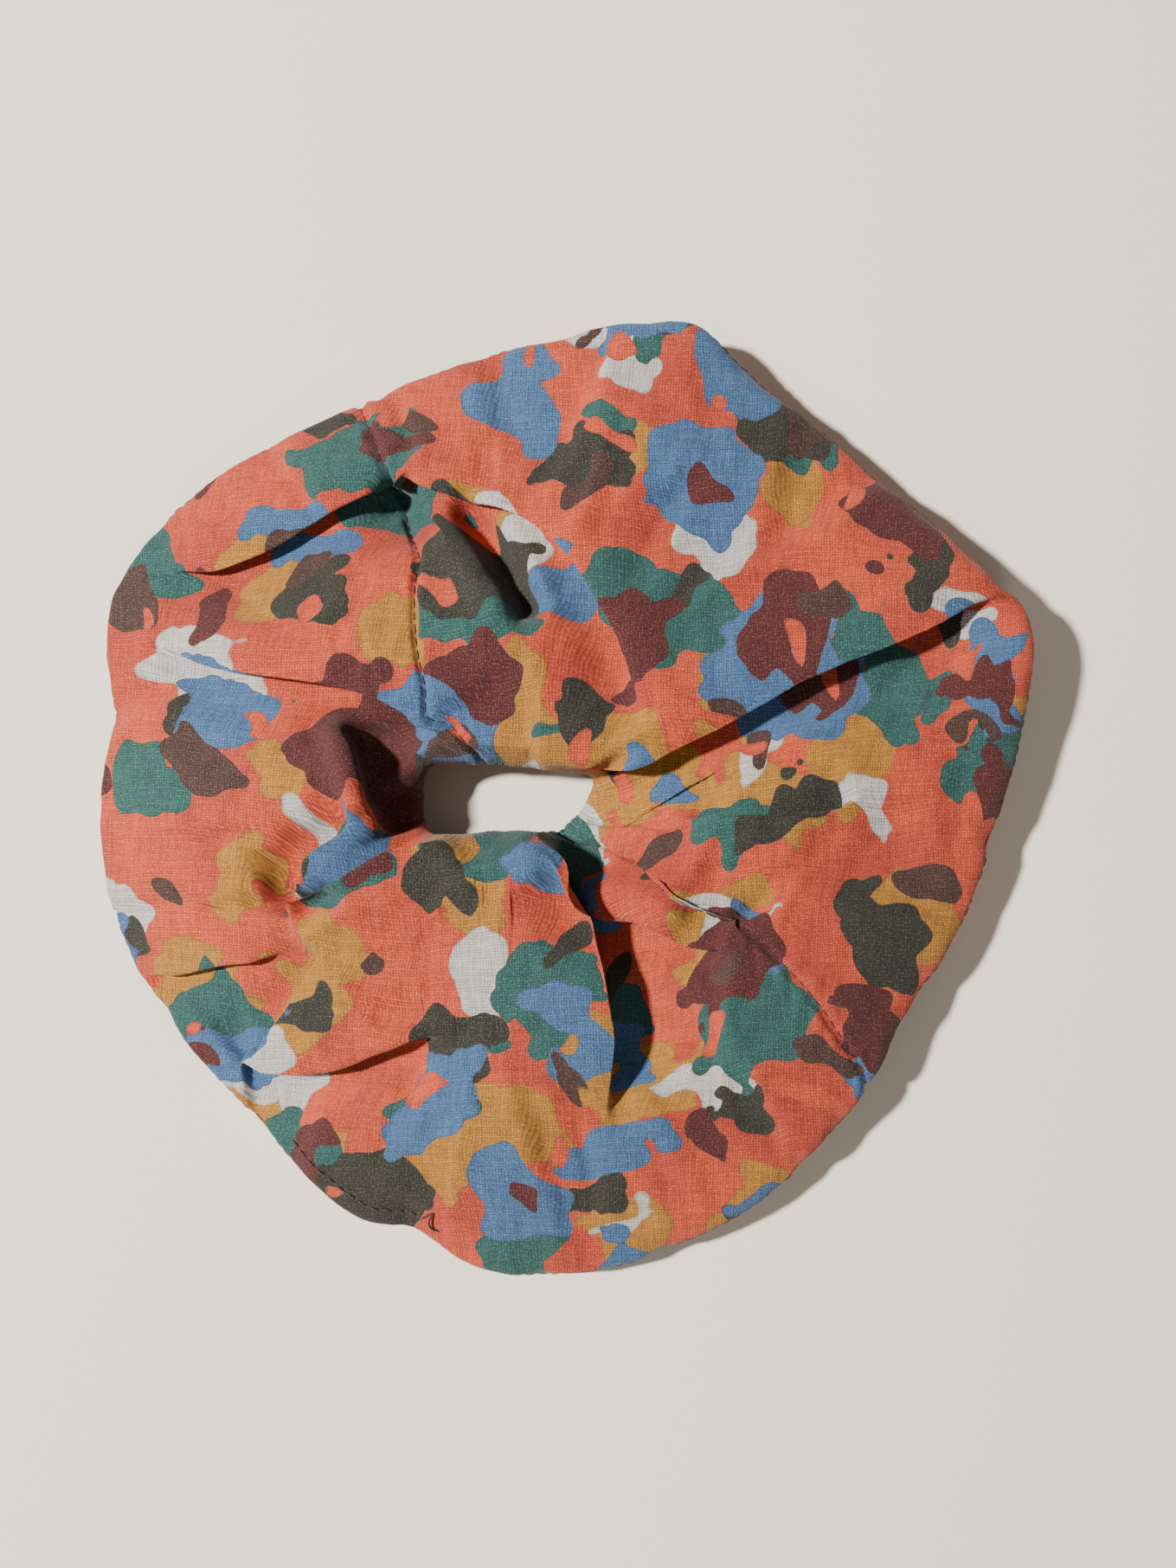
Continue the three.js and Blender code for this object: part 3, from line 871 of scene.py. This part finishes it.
def thread_material(name, color):
    """Twisted sewing thread, with a painted highlight along the crests of its twist."""
    g = Graph(name)
    place = g.node("ShaderNodeTexCoord").outputs["Object"]
    twist = g.node("ShaderNodeTexWave", {"Vector": place, "Scale": 900.0, "Distortion": 2.0},
                   bands_direction="DIAGONAL").outputs[0]
    tone_and_painted_shading = g.mix(g.noise(place, 900.0), rgba(color, 0.7), rgba(color))
    # Painted highlight: the colour is lighter along the crests of the twist.
    tone_and_painted_shading = g.mix(g.math("MULTIPLY", twist, 0.12), tone_and_painted_shading, rgba(color, 2.2))
    g.set(g.shader.inputs["Base Color"], tone_and_painted_shading)
    g.set(g.shader.inputs["Roughness"], g.ramp(twist, 0.0, 1.0, 0.75, 0.5))
    g.bump(0.4, 0.0001, twist)
    g.shader.inputs["Sheen Weight"].default_value = 0.1
    return g.material


def elastic_material():
    """Flat braid: two sets of ribs that cross, with painted shade in its grooves and a painted highlight on
    its crests.
    """
    g = Graph("braided_elastic")
    place = g.node("ShaderNodeTexCoord").outputs["Object"]
    ribs = g.node("ShaderNodeTexWave", {"Vector": place, "Scale": 260.0}, bands_direction="Z").outputs[0]
    braid = g.node("ShaderNodeTexVoronoi", {"Vector": place, "Scale": 1100.0}).outputs["Distance"]
    height = g.math("ADD", ribs, g.math("MULTIPLY", braid, 0.6))
    # Painted shade: the braid is coloured darker in its grooves and lighter on its crests, following its
    # height.
    tone_and_painted_shading = g.mix(g.ramp(height, 0.2, 1.2), rgba((0.5, 0.47, 0.41)), rgba((0.8, 0.78, 0.72)))
    g.set(g.shader.inputs["Base Color"], tone_and_painted_shading)
    g.set(g.shader.inputs["Roughness"], g.ramp(braid, 0.0, 0.8, 0.6, 0.85))
    g.bump(0.6, 0.0003, height)
    return g.material


dark_thread = thread_material("dark_thread", (0.04, 0.009, 0.012))
plain_thread = thread_material("plain_thread", (0.4, 0.36, 0.31))
for node in ("elastic_lap_needle_thread", "elastic_lap_bobbin_thread"):
    bpy.data.objects[node].data.materials.clear()
    bpy.data.objects[node].data.materials.append(plain_thread)

# ---------------------------------------------------------------- stitches and elastic

SIDES = 6
ASKEW = (0.31, 0.17, 0.93)  # no stitch runs this way
THREAD_TABLE = 0.01  # thread under the cover flattens on the table


def rods(name, paths, radius, material, node):
    """Short rods of thread along paths, as one piece that stands for one CAD node."""
    verts, faces = [], []
    for path in paths:
        ahead = np.gradient(path, axis=0)
        ahead /= np.linalg.norm(ahead, axis=1, keepdims=True) + 1e-9
        beside_it = np.cross(ahead, ASKEW)
        beside_it /= np.linalg.norm(beside_it, axis=1, keepdims=True) + 1e-9
        over_it = np.cross(ahead, beside_it)
        taper = np.sqrt(np.clip(1 - np.linspace(-0.97, 0.97, len(path)) ** 6, 0.1, 1))
        start = len(verts)
        for k, point in enumerate(path):
            for side in range(SIDES):
                a = 2 * math.pi * side / SIDES
                away = math.cos(a) * beside_it[k] + math.sin(a) * over_it[k]
                verts.append(point + radius * taper[k] * away)
        for k in range(len(path) - 1):
            for side in range(SIDES):
                a, b = start + k * SIDES + side, start + k * SIDES + (side + 1) % SIDES
                faces.append((a, b, b + SIDES, a + SIDES))
        faces.append(tuple(range(start + SIDES - 1, start - 1, -1)))
        faces.append(tuple(range(len(verts) - SIDES, len(verts))))
    verts = np.array(verts)
    verts[:, 2] = np.maximum(verts[:, 2], THREAD_TABLE)
    piece = add_mesh(name, placed(verts).tolist(), faces)
    piece.data.materials.append(material)
    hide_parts(node)
    return piece


STITCH_PITCH = 2.4
STITCH_POINTS = 6
ABOVE_CLOTH = 0.08


def stitched(line, up, long, bow):
    """A stitch path at every pitch of a line on the cloth, long millimetres each, bowed up a little."""
    steps = np.linalg.norm(np.diff(line, axis=0), axis=1)
    length = np.concatenate([[0], np.cumsum(steps)])
    out = []
    for start in np.arange(STITCH_PITCH / 2, length[-1] - long, STITCH_PITCH):
        at = start + np.linspace(0, long, STITCH_POINTS)
        path = np.stack([np.interp(at, length, line[:, k]) for k in range(3)], axis=1)
        lift = np.stack([np.interp(at, length, up[:, k]) for k in range(3)], axis=1)
        arch = bow * np.sin(np.linspace(0, np.pi, STITCH_POINTS))[:, None]
        out.append(path + lift * (ABOVE_CLOTH + arch))
    return out


normal = outward(cloth)  # the cloth has moved since this was last worked out


def closed(rows):
    """The rows with the first one again at the end."""
    return np.concatenate([rows, rows[:1]])


SEAM_STITCH, CLOSING_STITCH = 1.8, 1.7  # how long a stitch shows
SEAM_BOW, CLOSING_BOW = 0.02, 0.12
END_RADIUS, LONG_RADIUS, CLOSING_RADIUS = 0.09, 0.13, 0.2
CLOSING_ANGLES = (236, 258)
NEEDLE_PLACE, BOBBIN_PLACE = 10.9, 15.2

pieces = []
for name, line in (("left", UPPER_LINES), ("right", 0)):
    paths = stitched(closed(cloth[:, line]), closed(normal[:, line]), SEAM_STITCH, SEAM_BOW)
    pieces.append(rods(
        f"end_seam_stitches_{name}", paths, END_RADIUS,
        dark_thread, f"end_seam_thread_{name}",
    ))
edge = row_at(OUTER_EDGE)
for name, chosen in (("upper", slice(2, UPPER_LINES - 2)), ("lower", slice(UPPER_LINES + 2, LINES - 2))):
    paths = stitched(cloth[edge, chosen], normal[edge, chosen], SEAM_STITCH, SEAM_BOW)
    pieces.append(rods(
        f"long_seam_stitches_{name}", paths, LONG_RADIUS,
        dark_thread, f"long_seam_thread_{name}",
    ))
closing = np.nonzero((angles > CLOSING_ANGLES[0]) & (angles < CLOSING_ANGLES[1]))[0]
for name, place in (("needle", NEEDLE_PLACE), ("bobbin", BOBBIN_PLACE)):
    row = row_at(place)
    paths = stitched(cloth[row, closing], normal[row, closing], CLOSING_STITCH, CLOSING_BOW)
    if name == "needle":
        # The end that was left hanging curls on itself.
        t = np.linspace(0, 1, 40)
        curl = [5.5 * t + 1.2 * np.sin(9 * t), -1.2 * t + 1.5 * np.sin(7 * t), 0.5 + 1.1 * np.sin(5 * t)]
        paths.append(cloth[row, closing[-1]] + np.stack(curl, axis=1))
    pieces.append(rods(
        f"closing_{name}_stitches", paths, CLOSING_RADIUS,
        dark_thread, f"closing_{name}_thread",
    ))


def elastic_ring():
    """The flat braided elastic, as a ring of rounded rectangular section with a slight ruffle."""
    inner, outer = elastic_high[0] - HOLE[0] - BAND, elastic_high[0] - HOLE[0]
    low, high = elastic_low[2], elastic_high[2]
    turns, across = 240, 24
    a = np.linspace(0, 2 * np.pi, turns, endpoint=False)[:, None]
    b = np.linspace(0, 2 * np.pi, across, endpoint=False)[None]
    wide = np.sign(np.cos(b)) * np.abs(np.cos(b)) ** 0.4
    tall = np.sign(np.sin(b)) * np.abs(np.sin(b)) ** 0.4
    middle = (inner + outer) / 2 + 0.3 * np.sin(24 * a)
    radius = middle + 0.6 * wide
    z = (low + high) / 2 + (high - low) / 2 * tall * (1 - 0.02 * np.sin(48 * a))
    points = np.stack([radius * np.cos(a), radius * np.sin(a), z + 0 * a], axis=-1)
    piece = tube_mesh("elastic_ring", placed(points))
    piece.data.materials.append(elastic_material())
    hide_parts("elastic_band")
    return piece


pieces.append(elastic_ring())

# ---------------------------------------------------------------- the pieces' transforms, baked into their meshes

for piece in (cover_upper, cover_lower, *pieces):
    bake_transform(piece)

# ---------------------------------------------------------------- floor, light and camera


FLOOR = 3  # metres from the middle to each side
WARM_WHITE = (1, 0.96, 0.9)


def stage():
    """A plain pale floor."""
    corners = [(-FLOOR, -FLOOR, 0), (FLOOR, -FLOOR, 0), (FLOOR, FLOOR, 0), (-FLOOR, FLOOR, 0)]
    floor = add_mesh("floor", corners, [(0, 1, 2, 3)], smooth=False)
    material = bpy.data.materials.new("floor")
    material.use_nodes = True
    shader = material.node_tree.nodes["Principled BSDF"]
    shader.inputs["Base Color"].default_value = (0.95, 0.885, 0.76, 1)
    shader.inputs["Roughness"].default_value = 0.9
    floor.data.materials.append(material)


def lamp(name, place, size, power, color):
    """An area lamp that looks at the scrunchie."""
    data = bpy.data.lights.new(name, "AREA")
    data.shape = "DISK"
    data.size = size
    data.energy = power
    data.color = color
    light = bpy.data.objects.new(name, data)
    bpy.context.scene.collection.objects.link(light)
    light.location = place
    light.rotation_euler = Vector(-np.array(place)).to_track_quat("-Z", "Y").to_euler()


stage()
lamp("key", (-1.0, 0.22, 1.2), 0.12, 57, WARM_WHITE)
lamp("fill", (0.2, -1.1, 1.1), 0.4, 3.2, WARM_WHITE)
world = bpy.data.worlds.new("world")
world.use_nodes = True
world.node_tree.nodes["Background"].inputs[0].default_value = (1, 0.97, 0.94, 1)
world.node_tree.nodes["Background"].inputs[1].default_value = 0.17
bpy.context.scene.world = world

CAMERA_X, CAMERA_Y = 4.3, 4.1
CAMERA_HEIGHT = 308
VIEW_WIDTH = 217.4  # what the frame takes in at the height below
VIEW_HEIGHT = 8
SENSOR = 36
camera_data = bpy.data.cameras.new("camera")
camera_data.sensor_fit = "HORIZONTAL"
camera_data.sensor_width = SENSOR
camera_data.lens = SENSOR * (CAMERA_HEIGHT - VIEW_HEIGHT) / VIEW_WIDTH
camera = bpy.data.objects.new("camera", camera_data)
bpy.context.scene.collection.objects.link(camera)
camera.location = (CAMERA_X * MM, CAMERA_Y * MM, CAMERA_HEIGHT * MM)
bpy.context.scene.camera = camera
